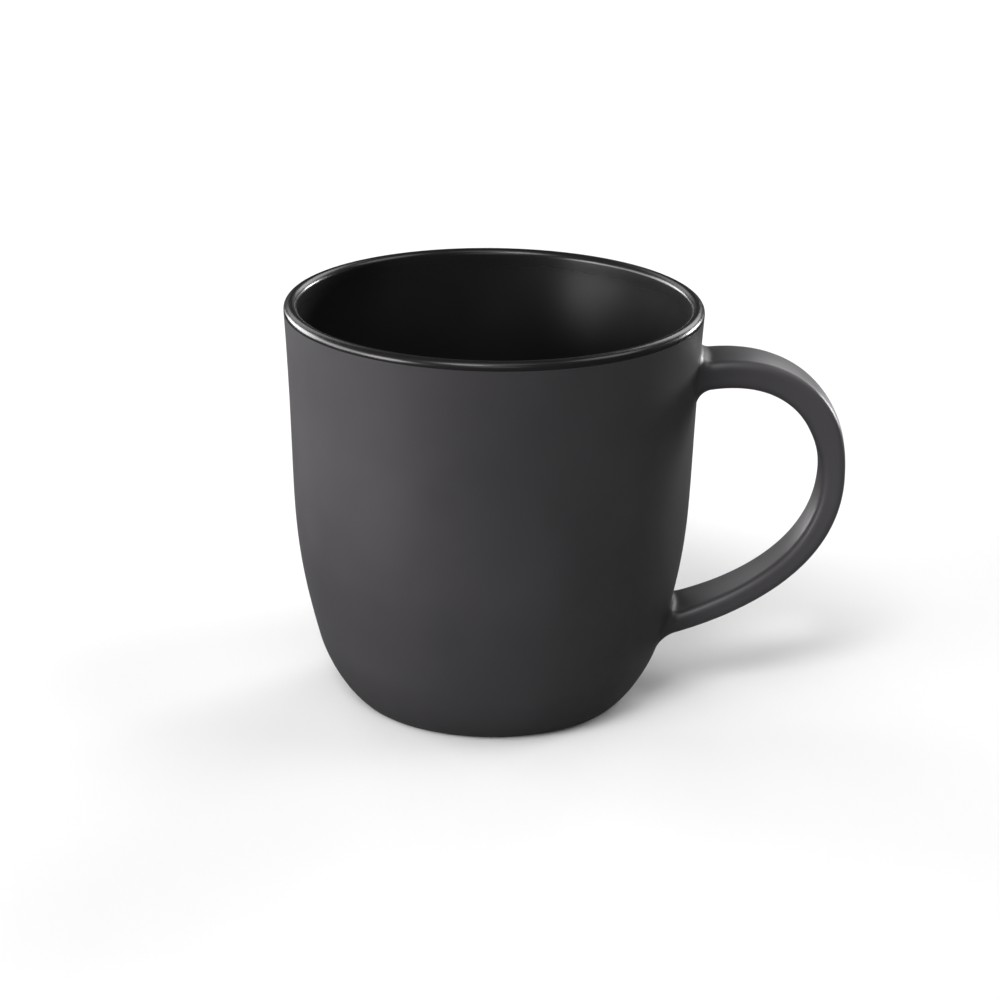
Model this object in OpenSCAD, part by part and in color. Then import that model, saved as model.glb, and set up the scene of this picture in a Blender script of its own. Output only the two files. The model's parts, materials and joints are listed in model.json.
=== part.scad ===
// Stoneware mug with a pulled strap handle, a gloss black liner glaze and a matte charcoal
// outer glaze. Millimetres. The cup stands on its foot ring at z = 0, its axis is Z, and the
// handle reaches out along +X. Every curve below is worked out from the sizes in the first
// sections, so the clay, the glaze coats and the slip fillets always meet face to face.

/* [Cup] */
// Diameter of the clay at the rim
rim_diameter = 91.7; // [76:0.1:108]
// Height of the clay from the table to the top of the rim
cup_height = 90.9; // [78:0.1:110]
// Thickness of the rounded rim
rim_thickness = 2.2; // [2:0.1:3.6]
// Thickness of the wall at the belly
wall_thickness = 4.0; // [3.2:0.1:5]
// Thickness of clay over the recess in the middle of the base
floor_thickness = 4.6; // [3.6:0.1:6]

/* [Foot] */
// Diameter of the foot ring where it meets the table
foot_diameter = 59.6; // [52:0.1:66]
// Width of the flat face that stands on the table
foot_ring_width = 3.2; // [2.6:0.1:4.4]
// Height of the recess inside the foot ring
foot_recess_height = 2.0; // [1.4:0.1:2.8]
// Height of clay wiped clean of glaze above the table
bare_foot_height = 0.6; // [0.5:0.1:1.2]

/* [Handle] */
// Distance from the cup's axis to the middle of the strap where it reaches out furthest
handle_reach = 76.0; // [71:0.1:84]
// Height of the strap's middle line at its upper root
handle_top_height = 75.0; // [68:0.1:80]
// Height of the strap's middle line at its lower root
handle_bottom_height = 16.4; // [14:0.1:24]
// Width of the strap halfway round, across the hand
strap_width = 11.0; // [9.5:0.1:14]
// Width of the strap at its upper root
strap_top_width = 14.8; // [13:0.1:17]
// Width of the strap at its lower root
strap_bottom_width = 16.1; // [13.5:0.1:18]
// Thickness of the strap halfway round
strap_thickness = 4.6; // [4:0.1:5.4]
// Thickness of the strap at its upper root
strap_top_thickness = 5.8; // [4.6:0.1:7.2]
// Thickness of the strap at its lower root
strap_bottom_thickness = 4.1; // [3.8:0.1:6]
// Radius along the long edges of the strap
strap_edge_radius = 1.5; // [1:0.1:1.7]
// Radius of the smoothed slip fillet round each root
slip_fillet_radius = 3.2; // [2.4:0.1:4.4]

/* [Glaze] */
// Thickness of every glaze coat
glaze_thickness = 0.35; // [0.25:0.05:0.5]
// Width of the black band on the outside, below the rounding of the rim
liner_band_width = 0.3; // [0.2:0.1:3]

/* [Hidden] */

clay_colour = [0.30, 0.27, 0.245];
slip_colour = [0.27, 0.245, 0.22];
black_colour = [0.05, 0.05, 0.055];
charcoal_colour = [0.24, 0.235, 0.245];

rim_radius = rim_diameter / 2;
foot_radius = foot_diameter / 2;
rim_round = rim_thickness / 2;

// The outside of the cup is two cubic curves that join smoothly above the foot. Each lean is
// the curve's angle above the table, and each pull is the length of its control arm.
foot_lean = 33;
join_lean = 75;
rim_lean = 86.3;
join_height = 0.162 * cup_height;
join_radius = foot_radius + 0.556 * (rim_radius - foot_radius);
foot_pull = 0.036 * cup_height;
join_pull_down = 0.076 * cup_height;
join_pull_up = 0.304 * cup_height;
rim_pull = 0.474 * cup_height;

// The wall thins towards the rim over this height.
thinning_height = 26;

// The inside turns in from the join to a flat floor.
floor_height = foot_recess_height + floor_thickness;
floor_flat_radius = 0.6 * foot_radius;
turn_pull = 0.1 * cup_height;
floor_pull = 0.42 * foot_radius;

// The recess under the base turns from the foot ring to a flat ceiling.
recess_radius = foot_radius - foot_ring_width;
recess_turn = 3.2;
recess_bare_height = 0.6 * bare_foot_height;

// Points along each stretch of the cup's outline
foot_steps = 2;
lower_steps = 18;
wall_steps = 36;
rim_steps = 12;
turn_steps = 18;
recess_steps = 8;
radius_samples = 60;

// The strap starts inside the wall at both roots and is trimmed to the cup.
root_depth = 4;
strap_top_lean = 16.2;
strap_bottom_lean = 12.4;
widest_fraction = 0.62;
top_pull_fraction = 0.69;
bottom_pull_fraction = 0.5;
shoulder_pull_fraction = 0.705;
heel_pull_fraction = 0.566;

// How the strap widens and thickens towards its roots. It is at its full upper thickness
// from this share of the way round.
widening_power = 2.5;
shoulder_share = 0.3;

// Rings of points along the strap, close together where it meets the wall
fine_spacing = 0.4;
fine_start = -2;
fine_end = 4.8;
upper_rings = 20;
lower_rings = 20;
corner_steps = 4;
face_crown = 0.18;

// The slip fillet meets the wall at an angle and ends in a thin edge on the strap, which the
// glaze over it evens out.
fillet_cut = 0.2 * slip_fillet_radius;
slip_edge = 0.12;
slip_fade_end = 8;
slip_fade_length = 2;

// Vectors
function unit(v) = v / norm(v);
function right_of(d) = [d[1], -d[0]];
function backwards(list) = [for (i = [len(list) - 1:-1:0]) list[i]];
function ease(t) = t <= 0 ? 0 : t >= 1 ? 1 : t * t * (3 - 2 * t);

// Cubic curves: a point, its heading, and a point set off to the right of the heading
function curve_point(c, u) =
    pow(1 - u, 3) * c[0] + 3 * pow(1 - u, 2) * u * c[1]
    + 3 * (1 - u) * u * u * c[2] + pow(u, 3) * c[3];
function curve_heading(c, u) =
    unit(pow(1 - u, 2) * (c[1] - c[0]) + 2 * (1 - u) * u * (c[2] - c[1])
    + u * u * (c[3] - c[2]));
function offset_point(c, u, off) = curve_point(c, u) + off * right_of(curve_heading(c, u));

// Outside of the clay, from the table up
join_point = [join_radius, join_height];
join_heading = [cos(join_lean), sin(join_lean)];
rim_centre = [rim_radius - rim_round, cup_height - rim_round];
rim_outward = [sin(rim_lean), -cos(rim_lean)];
rim_heading = [cos(rim_lean), sin(rim_lean)];
rim_start = rim_centre + rim_round * rim_outward;
lower_curve = [
    [foot_radius, 0],
    [foot_radius, 0] + foot_pull * [cos(foot_lean), sin(foot_lean)],
    join_point - join_pull_down * join_heading,
    join_point
];
upper_curve = [
    join_point,
    join_point + join_pull_up * join_heading,
    rim_start - rim_pull * rim_heading,
    rim_start
];

// Curve position of a given height, and radius of the clay at a given height
bare_table = [for (u = [0:0.025:0.5]) [curve_point(lower_curve, u)[1], u]];
bare_at = lookup(bare_foot_height, bare_table);
band_at = 1 - liner_band_width / (3 * rim_pull);
radius_table = concat(
    [for (i = [0:radius_samples]) backwards(curve_point(lower_curve, i / radius_samples))],
    [for (i = [1:radius_samples]) backwards(curve_point(upper_curve, i / radius_samples))]
);
function wall_radius(height) = lookup(height, radius_table);

// Stretches of the outline. off sets the points off the clay by the thickness of a coat.
function bare_side() = [for (i = [0:foot_steps - 1]) curve_point(lower_curve, bare_at * i / foot_steps)];
function coat_side(off) = concat(
    [for (i = [0:lower_steps]) offset_point(lower_curve, bare_at + (1 - bare_at) * i / lower_steps, off)],
    [for (i = [1:wall_steps]) offset_point(upper_curve, band_at * i / wall_steps, off)]
);
function rim_side(off) = [
    for (i = [0:rim_steps]) let (a = rim_lean - 90 + 180 * i / rim_steps)
    rim_centre + (rim_round + off) * [cos(a), sin(a)]
];
function wall_at(height) =
    wall_thickness + (rim_thickness - wall_thickness)
    * ease(1 - (rim_start[1] - height) / thinning_height);
function inner_wall_point(u) =
    let (p = curve_point(upper_curve, u))
    p - wall_at(p[1]) * right_of(curve_heading(upper_curve, u));
function inner_wall(off) = [
    for (i = [1:wall_steps]) let (u = 1 - i / wall_steps, h = 0.001)
    inner_wall_point(u) + off * right_of(unit(inner_wall_point(u - h) - inner_wall_point(u + h)))
];
inner_join = inner_wall_point(0);
turn_curve = [
    inner_join,
    inner_join - turn_pull * join_heading,
    [floor_flat_radius + floor_pull, floor_height],
    [floor_flat_radius, floor_height]
];
function inner_turn(off) = [for (i = [1:turn_steps]) offset_point(turn_curve, i / turn_steps, off)];
function liner_side(off) = concat(
    [offset_point(upper_curve, band_at, off)],
    rim_side(off),
    inner_wall(off),
    inner_turn(off),
    [[0, floor_height + off]]
);

// Recess under the base, from the foot ring to the middle
recess_curve = [
    [recess_radius, 0],
    [recess_radius - 0.15 * recess_turn, 0.65 * foot_recess_height],
    [recess_radius - 0.5 * recess_turn, foot_recess_height],
    [recess_radius - recess_turn, foot_recess_height]
];
recess_table = [for (u = [0:0.025:0.5]) [curve_point(recess_curve, u)[1], u]];
recess_bare_at = lookup(recess_bare_height, recess_table);
function recess_side(off) = concat(
    [
        for (i = [0:recess_steps])
        offset_point(recess_curve, recess_bare_at + (1 - recess_bare_at) * i / recess_steps, -off)
    ],
    [[0, foot_recess_height - off]]
);

function clay_outline() = concat(
    bare_side(),
    coat_side(0),
    liner_side(0),
    backwards(recess_side(0)),
    [[recess_radius, 0]]
);

// Middle line of the strap in the plane of the handle: two cubic curves that meet upright
// where the handle reaches out furthest
top_root = [wall_radius(handle_top_height) - root_depth, handle_top_height];
bottom_root = [wall_radius(handle_bottom_height) - root_depth, handle_bottom_height];
widest_height =
    handle_bottom_height + widest_fraction * (handle_top_height - handle_bottom_height);
widest_point = [handle_reach, widest_height];
top_pull = top_pull_fraction * (handle_reach - top_root[0]);
bottom_pull = bottom_pull_fraction * (handle_reach - bottom_root[0]);
shoulder = [
    top_root,
    top_root + top_pull * [cos(strap_top_lean), sin(strap_top_lean)],
    widest_point + [0, shoulder_pull_fraction * (handle_top_height - widest_height)],
    widest_point
];
heel = [
    widest_point,
    widest_point - [0, heel_pull_fraction * (widest_height - handle_bottom_height)],
    bottom_root + bottom_pull * [cos(strap_bottom_lean), sin(strap_bottom_lean)],
    bottom_root
];

// A station is a place along the strap: 0 at the upper root, 1 at the widest point, 2 at the
// lower root
function station_point(s) = s <= 1 ? curve_point(shoulder, s) : curve_point(heel, s - 1);
function station_heading(s) = s <= 1 ? curve_heading(shoulder, s) : curve_heading(heel, s - 1);
top_speed = 3 * top_pull;
bottom_speed = 3 * bottom_pull;
top_wall_station = root_depth / (top_speed * cos(strap_top_lean));
bottom_wall_station = 2 - root_depth / (bottom_speed * cos(strap_bottom_lean - 90 + join_lean));
fine_count = round((fine_end - fine_start) / fine_spacing);
top_fine = [
    for (i = [0:fine_count]) top_wall_station + (fine_start + i * fine_spacing) / top_speed
];
bottom_fine = [
    for (i = [fine_count:-1:0])
    bottom_wall_station - (fine_start + i * fine_spacing) / bottom_speed
];
top_free = top_fine[fine_count];
bottom_free = bottom_fine[0];
upper_stations = concat([0], top_fine);
lower_stations = concat(bottom_fine, [2]);
free_stations = concat(
    [for (i = [0:upper_rings]) top_free + (1 - top_free) * i / upper_rings],
    [for (i = [1:lower_rings]) 1 + (bottom_free - 1) * i / lower_rings]
);
strap_stations = concat(
    upper_stations,
    [for (i = [1:len(free_stations) - 2]) free_stations[i]],
    lower_stations
);

// Section of the strap at a station
function section_width(s) =
    strap_width + ((s < 1 ? strap_top_width : strap_bottom_width) - strap_width)
    * pow(abs(s - 1), widening_power);
function section_thickness(s) =
    s < 1
        ? strap_thickness + (strap_top_thickness - strap_thickness) * ease((1 - s) / shoulder_share)
        : strap_thickness + (strap_bottom_thickness - strap_thickness) * ease(s - 1);

// One ring: each entry is a place in the section [across, outward] and its outward direction
function section_ring(width, thickness) = [
    for (corner = [0:3]) for (i = [0:corner_steps])
    let (
        a = 90 * corner + 90 * i / corner_steps,
        side = corner == 0 || corner == 3 ? 1 : -1,
        face = corner < 2 ? 1 : -1,
        direction = [cos(a), sin(a)],
        middle = [side * (width / 2 - strap_edge_radius), face * (thickness / 2 - strap_edge_radius)]
    )
    each concat(
        [[middle + strap_edge_radius * direction, direction]],
        i == corner_steps && corner % 2 == 0
            ? [[[0, face * (thickness / 2 + face_crown)], [0, face]]]
            : []
    )
];

// Thickness of the slip at a distance from the clay wall
function fillet_growth(distance) =
    let (d = max(distance, 0) + fillet_cut)
    d >= slip_fillet_radius ? 0
        : slip_fillet_radius - sqrt(pow(slip_fillet_radius, 2) - pow(slip_fillet_radius - d, 2));
function slip_growth(distance) =
    fillet_growth(distance) + slip_edge * ease((slip_fade_end - distance) / slip_fade_length);
function placed(s, across, outward) =
    let (p = station_point(s), n = -right_of(station_heading(s)))
    [p[0] + outward * n[0], across, p[1] + outward * n[1]];

// Rings of the bare clay strap, and of the strap with its slip and a coat over it
function clay_ring(s) = [
    for (entry = section_ring(section_width(s), section_thickness(s)))
    placed(s, entry[0][0], entry[0][1])
];
function slipped_ring(s, coat) = [
    for (entry = section_ring(section_width(s), section_thickness(s)))
    let (
        bare = placed(s, entry[0][0], entry[0][1]),
        distance = norm([bare[0], bare[1]]) - wall_radius(bare[2]),
        place = entry[0] + (coat + slip_growth(distance)) * entry[1]
    )
    placed(s, place[0], place[1])
];

// Faces between two neighbouring rings of points
function band_faces(a, b, around) = [
    for (i = [0:around - 1]) let (next = (i + 1) % around)
    each [
        [a * around + i, b * around + i, a * around + next],
        [a * around + next, b * around + i, b * around + next]
    ]
];

// A solid strap: its rings in order, with a flat end at both roots
module strap(ring_list) {
    rings = len(ring_list);
    around = len(ring_list[0]);
    points = [for (ring = ring_list) each ring];
    sides = [for (j = [0:rings - 2]) each band_faces(j, j + 1, around)];
    first = [for (i = [0:around - 1]) i];
    last = [for (i = [around - 1:-1:0]) (rings - 1) * around + i];
    polyhedron(points, concat(sides, [first], [last]), convexity = 6);
}

// A hollow skin: its rings run along the outside and come back along the inside
module skin(ring_list) {
    rings = len(ring_list);
    around = len(ring_list[0]);
    points = [for (ring = ring_list) each ring];
    faces = [for (j = [0:rings - 1]) each band_faces(j, (j + 1) % rings, around)];
    polyhedron(points, faces, convexity = 8);
}

// Everything inside the outside of the cup, with or without its coat
module cup_filled(coat) {
    rotate_extrude($fn = 180)
        polygon(concat([[0, 0]], bare_side(), coat_side(coat), [[0, rim_start[1]]]));
}

module cup_body() {
    color(clay_colour)
        rotate_extrude($fn = 180)
            polygon(clay_outline());
}

module handle() {
    color(clay_colour)
        difference() {
            strap([for (s = strap_stations) clay_ring(s)]);
            cup_filled(0);
        }
}

// The slip that fills between the strap and the wall at one root
module handle_joint(stations) {
    outside = [for (s = stations) slipped_ring(s, 0)];
    inside = [for (s = stations) clay_ring(s)];
    color(slip_colour)
        difference() {
            skin(concat(outside, backwards(inside)));
            cup_filled(0);
        }
}

module upper_handle_joint() {
    handle_joint(upper_stations);
}

module lower_handle_joint() {
    handle_joint(lower_stations);
}

module liner_glaze() {
    color(black_colour)
        rotate_extrude($fn = 180)
            polygon(concat(liner_side(0), backwards(liner_side(glaze_thickness))));
}

module outer_glaze() {
    color(charcoal_colour)
        difference() {
            rotate_extrude($fn = 180)
                polygon(concat(coat_side(glaze_thickness), backwards(coat_side(0))));
            strap([for (s = upper_stations) slipped_ring(s, 0)]);
            strap([for (s = lower_stations) slipped_ring(s, 0)]);
        }
}

module handle_glaze() {
    outside = [for (s = strap_stations) slipped_ring(s, glaze_thickness)];
    inside = concat(
        [for (s = upper_stations) slipped_ring(s, 0)],
        [for (s = free_stations) clay_ring(s)],
        [for (s = lower_stations) slipped_ring(s, 0)]
    );
    color(charcoal_colour)
        difference() {
            skin(concat(outside, backwards(inside)));
            cup_filled(glaze_thickness);
        }
}

module base_glaze() {
    color(charcoal_colour)
        rotate_extrude($fn = 180)
            polygon(concat(recess_side(0), backwards(recess_side(glaze_thickness))));
}

cup_body();
handle();
upper_handle_joint();
lower_handle_joint();
liner_glaze();
outer_glaze();
handle_glaze();
base_glaze();
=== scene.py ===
import json
import math

import bmesh
import bpy
import numpy as np
from mathutils import Matrix, Vector


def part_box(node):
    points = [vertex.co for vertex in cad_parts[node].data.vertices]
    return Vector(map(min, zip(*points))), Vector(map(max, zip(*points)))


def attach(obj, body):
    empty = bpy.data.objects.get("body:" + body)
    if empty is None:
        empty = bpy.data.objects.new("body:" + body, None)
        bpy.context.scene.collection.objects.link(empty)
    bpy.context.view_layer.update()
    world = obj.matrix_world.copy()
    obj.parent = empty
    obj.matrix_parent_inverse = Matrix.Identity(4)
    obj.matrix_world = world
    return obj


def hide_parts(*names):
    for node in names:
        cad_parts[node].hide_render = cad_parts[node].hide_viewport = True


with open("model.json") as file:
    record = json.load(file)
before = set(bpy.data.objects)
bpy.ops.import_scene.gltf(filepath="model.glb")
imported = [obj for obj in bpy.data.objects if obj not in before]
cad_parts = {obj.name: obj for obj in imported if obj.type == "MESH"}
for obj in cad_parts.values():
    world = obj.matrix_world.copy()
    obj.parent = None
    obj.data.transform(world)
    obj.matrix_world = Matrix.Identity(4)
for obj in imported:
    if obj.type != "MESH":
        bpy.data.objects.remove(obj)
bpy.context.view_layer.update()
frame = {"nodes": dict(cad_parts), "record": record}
nodes = frame["nodes"]
record = frame["record"]

# The visual model of the ceramic mug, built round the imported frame. Sizes are in millimetres until
# a mesh is made. They follow the CAD source, and what the frame gives is read from it.
MM = 0.001


# ---------------------------------------------------------------- sizes, in millimetres
def box_mm(node):
    low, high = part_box(node)
    return np.array(low) / MM, np.array(high) / MM


liner_low, liner_high = box_mm("liner_glaze")
recess_high = box_mm("base_glaze")[1]
foot_mount = [m for m in record["mounts"] if m["name"] == "foot_ring"][0]

GLAZE = 0.35
RIM_RADIUS = liner_high[0] - GLAZE
CUP_HEIGHT = liner_high[2] - GLAZE
RIM_THICKNESS = 2.2
WALL_THICKNESS = 4.0
WALL_THINS_OVER = 26
FOOT_RING_WIDTH = 3.2
FOOT_RADIUS = foot_mount["pos_m"][0] / MM + FOOT_RING_WIDTH / 2
RECESS_HEIGHT = recess_high[2]
FLOOR_HEIGHT = liner_low[2]
BARE_HEIGHT = 0.6
BARE_SHARE_IN_RECESS = 0.6
BAND_WIDTH = 0.3

HANDLE_REACH = 76.0
HANDLE_TOP = 75.0
HANDLE_BOTTOM = 16.4
ROOT_DEPTH = 4
STRAP_WIDTH = 11.0
STRAP_TOP_WIDTH = 14.8
STRAP_BOTTOM_WIDTH = 16.1
STRAP_THICKNESS = 4.6
STRAP_TOP_THICKNESS = 5.8
STRAP_BOTTOM_THICKNESS = 4.1
STRAP_EDGE = 1.5
STRAP_CROWN = 0.18
FILLET = 2.9
SUNK_IN_COAT = 0.2

# What shapes the cup's outline: leans in degrees from level, and shares of its height or flare.
FOOT_LEAN = 33
JOIN_LEAN = 75
RIM_LEAN = 86.3
JOIN_HEIGHT_SHARE = 0.162
JOIN_FLARE_SHARE = 0.556
FOOT_PULL = 0.036
JOIN_PULL_DOWN = 0.076
JOIN_PULL_UP = 0.304
RIM_PULL = 0.474
INNER_TURN_PULL = 0.1
INNER_TURN_REACH = 1.02
INNER_FLAT_REACH = 0.6

# The recess under the base: how far in from its edge its side has run, and how high by then.
RECESS_SIDE_IN = 0.48
RECESS_SIDE_SHARE = 0.65
RECESS_ROUND_FROM = 1.6
RECESS_ROUND_TO = 3.2

# The strap's middle line: leans at its roots, and shares of its reach or height.
SHOULDER_LEAN = 16.2
HEEL_LEAN = 12.4
WIDEST_SHARE = 0.62
SHOULDER_PULL = 0.69
SHOULDER_RISE = 0.705
HEEL_DROP = 0.566
HEEL_PULL = 0.5
WIDENING_POWER = 2.5
TOP_THICKENS_OVER = 0.3

# How finely the meshes follow their curves.
TURN_STEPS = 256
STRAP_STEPS = 120
FILLET_STEPS = 12
CORNER_POINTS = 7
FACE_POINTS = 9
SIDE_POINTS = 3
SHARP_FROM = 40
STRAP_SHARP_FROM = 60


# ---------------------------------------------------------------- curves
def unit(v):
    v = np.asarray(v, float)
    return v / np.linalg.norm(v, axis=-1, keepdims=True)


def angle(deg):
    return np.array([math.cos(math.radians(deg)), math.sin(math.radians(deg))])


def curve_point(c, u):
    u = np.atleast_1d(np.asarray(u, float))[:, None]
    c = np.asarray(c, float)
    return (
        (1 - u) ** 3 * c[0] + 3 * (1 - u) ** 2 * u * c[1] + 3 * (1 - u) * u * u * c[2] + u**3 * c[3]
    )


def curve_heading(c, u):
    u = np.atleast_1d(np.asarray(u, float))[:, None]
    c = np.asarray(c, float)
    d = (1 - u) ** 2 * (c[1] - c[0]) + 2 * (1 - u) * u * (c[2] - c[1]) + u * u * (c[3] - c[2])
    return unit(d)


def right_of(d):
    return np.stack([d[..., 1], -d[..., 0]], -1)


def offset_curve(c, u, off):
    return curve_point(c, u) + off * right_of(curve_heading(c, u))


def ease(t):
    t = np.clip(t, 0, 1)
    return t * t * (3 - 2 * t)


# ---------------------------------------------------------------- outline of the cup
foot = np.array([FOOT_RADIUS, 0.0])
join = np.array([
    FOOT_RADIUS + JOIN_FLARE_SHARE * (RIM_RADIUS - FOOT_RADIUS),
    JOIN_HEIGHT_SHARE * CUP_HEIGHT,
])
rim_round = RIM_THICKNESS / 2
rim_centre = np.array([RIM_RADIUS - rim_round, CUP_HEIGHT - rim_round])
rim_start = rim_centre + rim_round * right_of(angle(RIM_LEAN))
lower = [
    foot,
    foot + FOOT_PULL * CUP_HEIGHT * angle(FOOT_LEAN),
    join - JOIN_PULL_DOWN * CUP_HEIGHT * angle(JOIN_LEAN),
    join,
]
upper = [
    join,
    join + JOIN_PULL_UP * CUP_HEIGHT * angle(JOIN_LEAN),
    rim_start - RIM_PULL * CUP_HEIGHT * angle(RIM_LEAN),
    rim_start,
]
fine = np.linspace(0, 1, 400)
bare_wall = np.vstack([curve_point(lower, fine), curve_point(upper, fine[1:])])
glazed_wall = np.vstack([
    offset_curve(lower, fine, GLAZE), offset_curve(upper, fine[1:], GLAZE)
])


def wall_radius(z):
    return np.interp(z, bare_wall[:, 1], bare_wall[:, 0])


def glazed_radius(z):
    return np.interp(z, glazed_wall[:, 1], glazed_wall[:, 0])


# Where on its curve the outer glaze starts above the table, and where it stops below the rim.
bare_at = float(np.interp(BARE_HEIGHT, curve_point(lower, fine)[:, 1], fine))
band_at = 1 - BAND_WIDTH / (3 * RIM_PULL * CUP_HEIGHT)


def coat_side(off):
    low = offset_curve(lower, np.linspace(bare_at, 1, 48), off)
    high = offset_curve(upper, np.linspace(0, band_at, 90)[1:], off)
    return np.vstack([low, high])


def rim_arc(off):
    a = np.radians(np.linspace(RIM_LEAN - 90, RIM_LEAN + 90, 28))
    return rim_centre + (rim_round + off) * np.stack([np.cos(a), np.sin(a)], 1)


def inner_wall_points(u):
    p = curve_point(upper, u)
    thinned = ease(1 - (rim_start[1] - p[:, 1]) / WALL_THINS_OVER)
    t = WALL_THICKNESS + (RIM_THICKNESS - WALL_THICKNESS) * thinned
    return p - t[:, None] * right_of(curve_heading(upper, u))


def inner_wall(off):
    u = np.linspace(1, 0, 80)[1:]
    step = 0.001
    d = unit(inner_wall_points(u - step) - inner_wall_points(u + step))
    return inner_wall_points(u) + off * right_of(d)


inner_join = inner_wall_points(np.array([0.0]))[0]
inner_flat = INNER_FLAT_REACH * FOOT_RADIUS
inner_turn = [
    inner_join,
    inner_join - INNER_TURN_PULL * CUP_HEIGHT * angle(JOIN_LEAN),
    np.array([INNER_TURN_REACH * FOOT_RADIUS, FLOOR_HEIGHT]),
    np.array([inner_flat, FLOOR_HEIGHT]),
]


def liner_side(off):
    """From the outer end of the black band, over the rim and down to the middle of the floor."""
    return np.vstack([
        offset_curve(upper, [band_at], off),
        rim_arc(off),
        inner_wall(off),
        offset_curve(inner_turn, np.linspace(0, 1, 40)[1:], off),
        np.stack([np.linspace(inner_flat, 0, 8)[1:], np.full(7, FLOOR_HEIGHT + off)], 1),
    ])


recess_radius = FOOT_RADIUS - FOOT_RING_WIDTH
recess = [
    np.array([recess_radius, 0.0]),
    np.array([recess_radius - RECESS_SIDE_IN, RECESS_SIDE_SHARE * RECESS_HEIGHT]),
    np.array([recess_radius - RECESS_ROUND_FROM, RECESS_HEIGHT]),
    np.array([recess_radius - RECESS_ROUND_TO, RECESS_HEIGHT]),
]
recess_bare = float(
    np.interp(BARE_SHARE_IN_RECESS * BARE_HEIGHT, curve_point(recess, fine)[:, 1], fine)
)


def recess_side(off):
    a = offset_curve(recess, np.linspace(recess_bare, 1, 14), -off)
    return np.vstack([a, [[0.0, RECESS_HEIGHT - off]]])


# ---------------------------------------------------------------- mesh helpers
def link(name, verts, faces):
    mesh = bpy.data.meshes.new(name)
    mesh.from_pydata([tuple(v) for v in np.asarray(verts) * MM], [], faces)
    mesh.validate()
    mesh.update()
    for p in mesh.polygons:
        p.use_smooth = True
    obj = bpy.data.objects.new(name, mesh)
    bpy.context.scene.collection.objects.link(obj)
    return obj


def mark_sharp(obj, degrees):
    """Keeps real edges crisp where the surface turns sharply."""
    mesh = obj.data
    bm = bmesh.new()
    bm.from_mesh(mesh)
    bmesh.ops.recalc_face_normals(bm, faces=bm.faces)
    for e in bm.edges:
        if len(e.link_faces) == 2 and e.calc_face_angle(0) > math.radians(degrees):
            e.smooth = False
    bm.to_mesh(mesh)
    bm.free()


def turned(name, *sides):
    """Turns a closed outline of [radius, height] about Z. A point on the axis is one vertex."""
    verts, rows = [], []
    ang = np.linspace(0, 2 * math.pi, TURN_STEPS, endpoint=False)
    for r, z in np.vstack(sides):
        if r < 1e-6:
            rows.append([len(verts)])
            verts.append([0, 0, z])
        else:
            rows.append(list(range(len(verts), len(verts) + TURN_STEPS)))
            ring = np.stack([r * np.cos(ang), r * np.sin(ang), np.full(TURN_STEPS, z)], 1)
            verts.extend(ring.tolist())
    faces = []
    for j in range(len(rows)):
        a, b = rows[j], rows[(j + 1) % len(rows)]
        if len(a) == 1 and len(b) == 1:
            continue
        for i in range(TURN_STEPS):
            k = (i + 1) % TURN_STEPS
            if len(a) == 1:
                faces.append((b[k], b[i], a[0]))
            elif len(b) == 1:
                faces.append((a[k], b[0], a[i]))
            else:
                faces.append((a[k], b[k], b[i], a[i]))
    obj = link(name, verts, faces)
    mark_sharp(obj, SHARP_FROM)
    return obj


# ---------------------------------------------------------------- strap
top_root = np.array([wall_radius(HANDLE_TOP) - ROOT_DEPTH, HANDLE_TOP])
bottom_root = np.array([wall_radius(HANDLE_BOTTOM) - ROOT_DEPTH, HANDLE_BOTTOM])
widest_height = HANDLE_BOTTOM + WIDEST_SHARE * (HANDLE_TOP - HANDLE_BOTTOM)
widest = np.array([HANDLE_REACH, widest_height])
shoulder = [
    top_root,
    top_root + SHOULDER_PULL * (HANDLE_REACH - top_root[0]) * angle(SHOULDER_LEAN),
    widest + np.array([0, SHOULDER_RISE * (HANDLE_TOP - widest_height)]),
    widest,
]
heel = [
    widest,
    widest - np.array([0, HEEL_DROP * (widest_height - HANDLE_BOTTOM)]),
    bottom_root + HEEL_PULL * (HANDLE_REACH - bottom_root[0]) * angle(HEEL_LEAN),
    bottom_root,
]


# A station runs from 0 at the upper root, by 1 at the widest place, to 2 at the lower root.
def station_point(s):
    s = np.atleast_1d(s)
    return np.where((s <= 1)[:, None], curve_point(shoulder, s), curve_point(heel, s - 1))


def station_heading(s):
    s = np.atleast_1d(s)
    return np.where((s <= 1)[:, None], curve_heading(shoulder, s), curve_heading(heel, s - 1))


def section_table():
    """Places round the strap's section: the corner they belong to, which way is out, the crown."""
    rows = []
    corners = [(1, 1), (-1, 1), (-1, -1), (1, -1)]
    for k, corner in enumerate(corners):
        for i in range(CORNER_POINTS):
            a = math.radians(90 * k + 90 * i / (CORNER_POINTS - 1))
            rows.append((*corner, math.cos(a), math.sin(a), 0.0))
        following = corners[(k + 1) % 4]
        wide = k % 2 == 0
        count = FACE_POINTS if wide else SIDE_POINTS
        a = math.radians(90 * (k + 1))
        for i in range(1, count + 1):
            f = i / (count + 1)
            place = [corner[m] * (1 - f) + following[m] * f for m in (0, 1)]
            crown = STRAP_CROWN * (1 - (2 * f - 1) ** 2) if wide else 0.0
            rows.append((*place, math.cos(a), math.sin(a), crown))
    return np.array(rows)


SECTION = section_table()
AROUND = len(SECTION)


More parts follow.
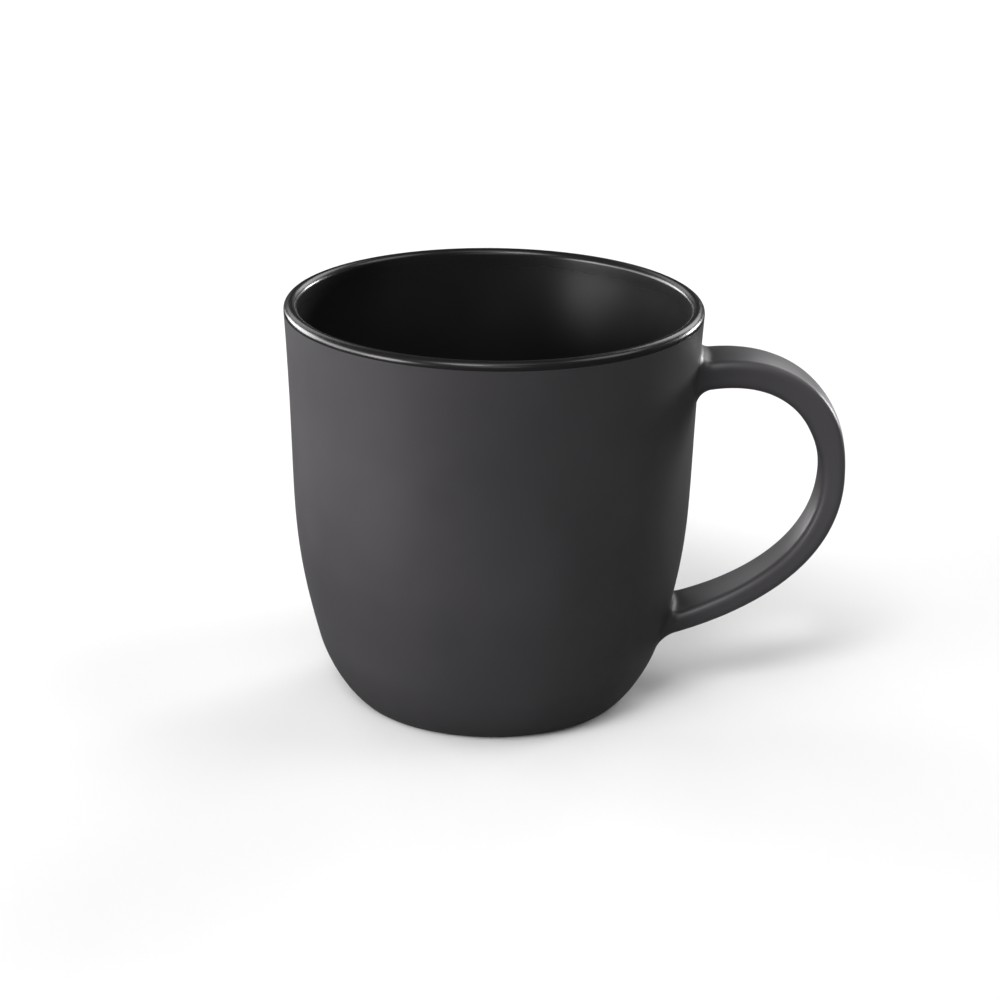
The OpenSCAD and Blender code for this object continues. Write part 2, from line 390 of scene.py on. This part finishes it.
def on_strap(s, off):
    """One point on each line along the strap, at stations s, set off outwards."""
    upper_half = s < 1
    ends = np.where(upper_half, STRAP_TOP_WIDTH, STRAP_BOTTOM_WIDTH)
    width = STRAP_WIDTH + (ends - STRAP_WIDTH) * np.abs(s - 1) ** WIDENING_POWER
    ends = np.where(upper_half, STRAP_TOP_THICKNESS, STRAP_BOTTOM_THICKNESS)
    share = np.where(upper_half, ease((1 - s) / TOP_THICKENS_OVER), ease(s - 1))
    thickness = STRAP_THICKNESS + (ends - STRAP_THICKNESS) * share
    reach = STRAP_EDGE + SECTION[:, 4] + off
    across = SECTION[:, 0] * (width / 2 - STRAP_EDGE) + reach * SECTION[:, 2]
    outward = SECTION[:, 1] * (thickness / 2 - STRAP_EDGE) + reach * SECTION[:, 3]
    p = station_point(s)
    n = -right_of(station_heading(s))
    return np.stack([p[:, 0] + outward * n[:, 0], across, p[:, 1] + outward * n[:, 1]], 1)


def wall_distance(p):
    """Distance of points from the glazed wall, measured level."""
    return np.hypot(p[:, 0], p[:, 1]) - glazed_radius(p[:, 2])


def at_wall(p, distance):
    """The points, moved level to lie at exactly this distance from the glazed wall."""
    scale = (glazed_radius(p[:, 2]) + distance) / np.hypot(p[:, 0], p[:, 1])
    return np.stack([p[:, 0] * scale, p[:, 1] * scale, p[:, 2]], 1)


def stations_at(distance, first, last):
    """The stations where the strap's lines are this far from the glazed wall, by halving."""
    a, b = np.full(AROUND, first), np.full(AROUND, last)
    for _ in range(40):
        middle = (a + b) / 2
        near = wall_distance(on_strap(middle, GLAZE)) < distance
        a, b = np.where(near, middle, a), np.where(near, b, middle)
    return (a + b) / 2


def root_rings(first, last):
    """Rings that leave the strap and curve out onto the wall, and a last one inside its coat."""
    rings = []
    for a in np.radians(np.linspace(0, 90, FILLET_STEPS + 1)):
        distance = FILLET * (1 - math.sin(a))
        growth = FILLET * (1 - math.cos(a))
        s = stations_at(distance, first, last)
        rings.append(at_wall(on_strap(s, GLAZE + growth), distance))
    rings.append(at_wall(rings[-1], -SUNK_IN_COAT))
    return rings, stations_at(FILLET, first, last)


top_rings, top_ends = root_rings(0.0, 0.6)
bottom_rings, bottom_ends = root_rings(2.0, 1.4)
strap_rings = [
    on_strap(top_ends + (bottom_ends - top_ends) * j / STRAP_STEPS, GLAZE)
    for j in range(1, STRAP_STEPS)
]
all_rings = top_rings[::-1] + strap_rings + bottom_rings
strap_faces = []
for j in range(len(all_rings) - 1):
    for i in range(AROUND):
        k = (i + 1) % AROUND
        strap_faces.append(
            (j * AROUND + i, (j + 1) * AROUND + i, (j + 1) * AROUND + k, j * AROUND + k)
        )
strap_faces.append(tuple(range(AROUND)))
strap_faces.append(tuple(reversed(range((len(all_rings) - 1) * AROUND, len(all_rings) * AROUND))))
handle_coat = link("handle_coat", np.array(all_rings).reshape(-1, 3), strap_faces)
mark_sharp(handle_coat, STRAP_SHARP_FROM)

# ---------------------------------------------------------------- turned pieces
cup_coat = turned("cup_coat", coat_side(GLAZE), coat_side(0)[::-1])
liner_coat = turned("liner_coat", liner_side(0), liner_side(GLAZE)[::-1])
clay_cup = turned(
    "clay_cup",
    curve_point(lower, np.linspace(0, bare_at, 5))[:-1],
    coat_side(0),
    liner_side(0)[1:],
    recess_side(0)[::-1],
    curve_point(recess, np.linspace(recess_bare, 0, 4))[1:],
)
base_coat = turned("base_coat", recess_side(0), recess_side(GLAZE)[::-1])

for piece, node, slot in (
    (cup_coat, "outer_glaze", "charcoal_matte_glaze"),
    (handle_coat, "handle_glaze", "charcoal_matte_glaze"),
    (liner_coat, "liner_glaze", "black_gloss_glaze"),
    (clay_cup, "cup_body", "stoneware_clay"),
    (base_coat, "base_glaze", "charcoal_matte_glaze"),
):
    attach(piece, "root")
    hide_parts(node)


# ---------------------------------------------------------------- node helpers
def material(name):
    mat = bpy.data.materials.new(name)
    mat.use_nodes = True
    tree = mat.node_tree
    for n in list(tree.nodes):
        tree.nodes.remove(n)
    out = tree.nodes.new("ShaderNodeOutputMaterial")
    bsdf = tree.nodes.new("ShaderNodeBsdfPrincipled")
    tree.links.new(bsdf.outputs["BSDF"], out.inputs["Surface"])
    coords = tree.nodes.new("ShaderNodeTexCoord")
    return mat, tree, bsdf, coords.outputs["Object"]


def noise(tree, vector, scale, detail):
    n = tree.nodes.new("ShaderNodeTexNoise")
    n.inputs["Scale"].default_value = scale
    n.inputs["Detail"].default_value = detail
    n.inputs["Roughness"].default_value = 0.5
    tree.links.new(vector, n.inputs["Vector"])
    return n.outputs["Fac"]


def ramp(tree, value, low, high, at_low, at_high):
    n = tree.nodes.new("ShaderNodeMapRange")
    n.inputs["From Min"].default_value = low
    n.inputs["From Max"].default_value = high
    n.inputs["To Min"].default_value = at_low
    n.inputs["To Max"].default_value = at_high
    tree.links.new(value, n.inputs["Value"])
    return n.outputs["Result"]


def blend(tree, value, a, b):
    """A colour from a to b by value. Each end is a plain colour or another node's output."""
    n = tree.nodes.new("ShaderNodeMix")
    n.data_type = "RGBA"
    tree.links.new(value, n.inputs["Factor"])
    for end, colour in (("A", a), ("B", b)):
        if isinstance(colour, tuple):
            n.inputs[end].default_value = (*colour, 1)
        else:
            tree.links.new(colour, n.inputs[end])
    return n.outputs["Result"]


def bump(tree, height, strength, distance, normal=None):
    n = tree.nodes.new("ShaderNodeBump")
    n.inputs["Strength"].default_value = strength
    n.inputs["Distance"].default_value = distance
    tree.links.new(height, n.inputs["Height"])
    if normal is not None:
        tree.links.new(normal, n.inputs["Normal"])
    return n.outputs["Normal"]


def calc(tree, operation, *values):
    """A Math node. Each value is a number or another node's output."""
    n = tree.nodes.new("ShaderNodeMath")
    n.operation = operation
    for socket, value in zip(n.inputs, values):
        if isinstance(value, float):
            socket.default_value = value
        else:
            tree.links.new(value, socket)
    return n.outputs["Value"]


# ---------------------------------------------------------------- materials
CHARCOAL = (0.0230, 0.0219, 0.0234)
CHARCOAL_LIGHT = (0.0310, 0.0294, 0.0315)
# The handle has the same charcoal glaze as the cup, but its colour is painted lighter: painted light
# for the light falling on the handle.
HANDLE_PAINTED_LIT_CHARCOAL = (0.0430, 0.0408, 0.0436)
HANDLE_PAINTED_LIT_CHARCOAL_LIGHT = (0.0510, 0.0484, 0.0517)
CHARCOAL_ROUGHNESS = (0.43, 0.47)
CHARCOAL_TINT = (1.0, 0.95, 1.0, 1.0)

# The handle's painted lighter tone turns back into the cup's charcoal between these two distances
# from the wall, in metres, which paints shade where the handle meets the cup.
# The wall between the two roots is taken as a straight cone.
ROOT_FROM = 0.0008
ROOT_TO = 0.0120
WALL_FLARE = (
    float(wall_radius(HANDLE_TOP) - wall_radius(HANDLE_BOTTOM)) / (HANDLE_TOP - HANDLE_BOTTOM)
)
WALL_AT_TABLE = MM * float(wall_radius(HANDLE_BOTTOM) - WALL_FLARE * HANDLE_BOTTOM)

BLACK = (0.0072, 0.0064, 0.0068)
BLACK_LIGHT = (0.0102, 0.0092, 0.0096)
BLACK_SPECULAR = 0.32
RIM_ROUGHNESS = 0.26
INSIDE_ROUGHNESS = 0.3
ROUGHNESS_DRIFT = 0.02
# The inside's roughness turns into the rim's between these two heights, in metres.
RIM_FROM = 0.0855
RIM_TO = 0.0885

CLAY = (0.085, 0.068, 0.056)
CLAY_DARK = (0.055, 0.045, 0.038)
SLIP = (0.068, 0.056, 0.047)
SLIP_DARK = (0.05, 0.042, 0.036)


def off_the_wall(tree, obj_co):
    """0 where the handle meets the cup, 1 from ROOT_TO out."""
    flat = tree.nodes.new("ShaderNodeVectorMath")
    flat.operation = "MULTIPLY"
    flat.inputs[1].default_value = (1, 1, 0)
    tree.links.new(obj_co, flat.inputs[0])
    radius = tree.nodes.new("ShaderNodeVectorMath")
    radius.operation = "LENGTH"
    tree.links.new(flat.outputs["Vector"], radius.inputs[0])
    split = tree.nodes.new("ShaderNodeSeparateXYZ")
    tree.links.new(obj_co, split.inputs["Vector"])
    wall = calc(tree, "MULTIPLY_ADD", split.outputs["Z"], WALL_FLARE, WALL_AT_TABLE)
    beyond = calc(tree, "SUBTRACT", radius.outputs["Value"], wall)
    return ramp(tree, beyond, ROOT_FROM, ROOT_TO, 0, 1)


def charcoal_look(name, dark, light, meets_cup=False):
    mat, tree, bsdf, obj_co = material(name)
    cloud = ramp(tree, noise(tree, obj_co, 38, 3), 0.2, 0.8, 0, 1)
    colour = blend(tree, cloud, dark, light)
    # Painted shade at the handle's roots: near the wall the painted lighter handle tone fades back
    # to the cup's darker charcoal.
    if meets_cup:
        cup_colour = blend(tree, cloud, CHARCOAL, CHARCOAL_LIGHT)
        colour = blend(tree, off_the_wall(tree, obj_co), cup_colour, colour)
    tree.links.new(colour, bsdf.inputs["Base Color"])
    rough = ramp(tree, noise(tree, obj_co, 90, 2), 0.3, 0.7, *CHARCOAL_ROUGHNESS)
    tree.links.new(rough, bsdf.inputs["Roughness"])
    grain = bump(tree, noise(tree, obj_co, 2600, 2), 0.05, 0.0001)
    waves = bump(tree, noise(tree, obj_co, 60, 1), 0.12, 0.0004, grain)
    tree.links.new(waves, bsdf.inputs["Normal"])
    bsdf.inputs["Specular IOR Level"].default_value = 0.5
    bsdf.inputs["Specular Tint"].default_value = CHARCOAL_TINT
    return mat


def black_look(name):
    mat, tree, bsdf, obj_co = material(name)
    cloud = ramp(tree, noise(tree, obj_co, 45, 3), 0.2, 0.8, 0, 1)
    tree.links.new(blend(tree, cloud, BLACK, BLACK_LIGHT), bsdf.inputs["Base Color"])
    split = tree.nodes.new("ShaderNodeSeparateXYZ")
    tree.links.new(obj_co, split.inputs["Vector"])
    height = split.outputs["Z"]
    by_height = ramp(tree, height, RIM_FROM, RIM_TO, INSIDE_ROUGHNESS, RIM_ROUGHNESS)
    drift = ramp(tree, noise(tree, obj_co, 120, 2), 0, 1, -ROUGHNESS_DRIFT, ROUGHNESS_DRIFT)
    tree.links.new(calc(tree, "ADD", by_height, drift), bsdf.inputs["Roughness"])
    waves = bump(tree, noise(tree, obj_co, 90, 1), 0.05, 0.0003)
    tree.links.new(waves, bsdf.inputs["Normal"])
    bsdf.inputs["Specular IOR Level"].default_value = BLACK_SPECULAR
    return mat


def earthen_look(name, light, dark, specks, specks_from, roughness, grain, depth, specular):
    mat, tree, bsdf, obj_co = material(name)
    speck = noise(tree, obj_co, specks, 2)
    colour = blend(tree, ramp(tree, speck, specks_from, 0.7, 0, 1), light, dark)
    tree.links.new(colour, bsdf.inputs["Base Color"])
    tree.links.new(ramp(tree, speck, 0.3, 0.7, *roughness), bsdf.inputs["Roughness"])
    pits = bump(tree, noise(tree, obj_co, grain, 3), depth, 0.0002)
    tree.links.new(pits, bsdf.inputs["Normal"])
    bsdf.inputs["Specular IOR Level"].default_value = specular
    return mat


def dress(obj, mat):
    obj.data.materials.clear()
    obj.data.materials.append(mat)


charcoal = charcoal_look("matte_charcoal_look", CHARCOAL, CHARCOAL_LIGHT)
# The handle's look holds the painted lighter tone, and the painted shade where it fades back to the
# cup's charcoal at the roots.
painted_lit_charcoal = charcoal_look(
    "matte_charcoal_painted_lit_handle_look", HANDLE_PAINTED_LIT_CHARCOAL, HANDLE_PAINTED_LIT_CHARCOAL_LIGHT, meets_cup=True
)
black = black_look("gloss_black_look")
clay = earthen_look(
    "bare_clay_look", CLAY, CLAY_DARK, specks=1500, specks_from=0.45, roughness=(0.75, 0.9),
    grain=2200, depth=0.35, specular=0.3,
)
slip = earthen_look(
    "dried_slip_look", SLIP, SLIP_DARK, specks=900, specks_from=0.4, roughness=(0.7, 0.85),
    grain=1200, depth=0.25, specular=0.5,
)

for piece, mat in (
    (cup_coat, charcoal),
    (handle_coat, painted_lit_charcoal),
    (base_coat, charcoal),
    (liner_coat, black),
    (clay_cup, clay),
):
    dress(piece, mat)
for name, mat in (
    ("cup_body", clay),
    ("handle", clay),
    ("upper_handle_joint", slip),
    ("lower_handle_joint", slip),
    ("liner_glaze", black),
    ("outer_glaze", charcoal),
    ("handle_glaze", painted_lit_charcoal),
    ("base_glaze", charcoal),
):
    for place in nodes[name].material_slots:
        place.material = mat

# ---------------------------------------------------------------- floor
FLOOR_HALF = 6.0
FLOOR_TONE = (0.82, 0.82, 0.82)
FLOOR_TONE_LIGHT = (0.83, 0.83, 0.83)
corners = [(-1, -1), (1, -1), (1, 1), (-1, 1)]
floor_mesh = bpy.data.meshes.new("floor")
floor_mesh.from_pydata(
    [(x * FLOOR_HALF, y * FLOOR_HALF, 0) for x, y in corners], [], [(0, 1, 2, 3)]
)
floor = bpy.data.objects.new("floor", floor_mesh)
bpy.context.scene.collection.objects.link(floor)
floor.visible_glossy = False
pale, tree, bsdf, obj_co = material("pale_floor")
floor_colour = blend(tree, noise(tree, obj_co, 4, 2), FLOOR_TONE, FLOOR_TONE_LIGHT)
tree.links.new(floor_colour, bsdf.inputs["Base Color"])
bsdf.inputs["Roughness"].default_value = 0.9
bsdf.inputs["Specular IOR Level"].default_value = 0.1
dress(floor, pale)

# ---------------------------------------------------------------- light
WORLD_STRENGTH = 0.06
world = bpy.data.worlds.new("studio")
bpy.context.scene.world = world
world.use_nodes = True
world.node_tree.nodes["Background"].inputs["Color"].default_value = (1, 1, 1, 1)
world.node_tree.nodes["Background"].inputs["Strength"].default_value = WORLD_STRENGTH

# Soft lights far away: azimuth, elevation, size and strength. The angles are in degrees, and
# azimuth 0 is the camera's side, 90 is +X.
LIGHTS = {
    "key": (-20, 51, 20, 1.34),
    "left_front": (-60, 6, 30, 3.8),
    "left": (-90, 6, 30, 1.9),
    "left_back": (-120, 6, 30, 2.6),
    "front": (0, 28, 30, 0.33),
    "overhead": (0, 70, 30, 0.44),
    "right_high": (90, 50, 30, 0.77),
    "back_left": (-150, 28, 30, 0.44),
    "back_right": (150, 28, 30, 0.9),
    "left_edge": (-138, 3, 14, 0.8),
    "right_edge": (134, 3, 14, 2.2),
}
for name, (azimuth, elevation, size, strength) in LIGHTS.items():
    a, e = math.radians(azimuth), math.radians(elevation)
    towards = Vector((math.sin(a) * math.cos(e), -math.cos(a) * math.cos(e), math.sin(e)))
    data = bpy.data.lights.new(name, "SUN")
    data.angle = math.radians(size)
    data.energy = strength
    lamp = bpy.data.objects.new(name, data)
    lamp.rotation_mode = "QUATERNION"
    lamp.rotation_quaternion = towards.to_track_quat("Z", "Y")
    bpy.context.scene.collection.objects.link(lamp)

# ---------------------------------------------------------------- camera
CAMERA_DISTANCE = 0.6303
CAMERA_ELEVATION = 20.0
CAMERA_ROLL = 0.79
CAMERA_LENS = 100.8
CAMERA_SENSOR = 36
AIM = Vector((0.00185, 0, 0.04472))
BASE = Vector((0, 0, 0.045))
e = math.radians(CAMERA_ELEVATION)
cam_data = bpy.data.cameras.new("camera")
cam_data.sensor_width = CAMERA_SENSOR
cam_data.lens = CAMERA_LENS
camera = bpy.data.objects.new("camera", cam_data)
camera.location = BASE + Vector((0, -math.cos(e), math.sin(e))) * CAMERA_DISTANCE
look = (AIM - camera.location).to_track_quat("-Z", "Y")
roll = Matrix.Rotation(math.radians(CAMERA_ROLL), 3, "Z").to_quaternion()
camera.rotation_mode = "QUATERNION"
camera.rotation_quaternion = look @ roll
bpy.context.scene.collection.objects.link(camera)
bpy.context.scene.camera = camera
bpy.context.scene.view_settings.view_transform = "Standard"
bpy.context.scene.view_settings.look = "None"
